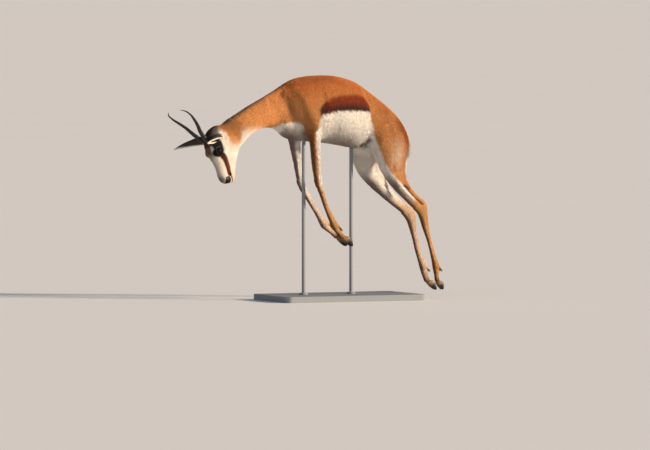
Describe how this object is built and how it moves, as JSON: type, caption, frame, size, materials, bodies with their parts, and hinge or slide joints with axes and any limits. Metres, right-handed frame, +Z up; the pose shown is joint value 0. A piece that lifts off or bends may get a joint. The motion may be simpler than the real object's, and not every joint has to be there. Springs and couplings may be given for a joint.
{
  "type": "springbok, leaping, on a display stand",
  "caption": "Still life-size springbok in an arched stiff-legged leap, head lowered and legs hanging back, held over a flat base by upright rods.",
  "frame": {"origin": "middle of the bounding box at the underside of the stand's base", "axes": "+Z up, -X the way the animal faces, -Y its left side"},
  "size_m": [1.2396, 0.36, 0.9463],
  "materials": {
    "coat_tawny": "short tawny fur over skin, matt",
    "coat_white": "short white fur over skin, matt",
    "hair_dark": "dark brown hair, matt",
    "horn_black": "ringed black horn, satin",
    "hoof_black": "black horn, satin",
    "eye_dark": "wet and glossy, nearly black",
    "stand_board": "painted mid grey, satin",
    "stand_metal": "painted mid grey, satin"
  },
  "bodies": {
    "root": {"torso": "coat_tawny", "neck": "coat_tawny", "head": "coat_white", "ear_left": "coat_tawny", "ear_right": "coat_tawny", "eye_left": "eye_dark", "eye_right": "eye_dark", "horn_left": "horn_black", "horn_right": "horn_black", "fore_upper_left": "coat_tawny", "fore_upper_right": "coat_white", "fore_lower_left": "coat_tawny", "fore_lower_right": "coat_tawny", "hind_upper_left": "coat_tawny", "hind_upper_right": "coat_white", "hind_lower_left": "coat_tawny", "hind_lower_right": "coat_tawny", "hoof_fore_left_inner": "hoof_black", "hoof_fore_left_outer": "hoof_black", "hoof_fore_right_inner": "hoof_black", "hoof_fore_right_outer": "hoof_black", "hoof_hind_left_inner": "hoof_black", "hoof_hind_left_outer": "hoof_black", "hoof_hind_right_inner": "hoof_black", "hoof_hind_right_outer": "hoof_black", "dewclaw_fore_left_inner": "hoof_black", "dewclaw_fore_left_outer": "hoof_black", "dewclaw_fore_right_inner": "hoof_black", "dewclaw_fore_right_outer": "hoof_black", "dewclaw_hind_left_inner": "hoof_black", "dewclaw_hind_left_outer": "hoof_black", "dewclaw_hind_right_inner": "hoof_black", "dewclaw_hind_right_outer": "hoof_black", "rump_crest": "coat_white", "tail": "coat_white", "tail_tuft": "hair_dark", "stand_base": "stand_board", "stand_rod_front": "stand_metal", "stand_rod_rear": "stand_metal"}
  },
  "joints": []
}
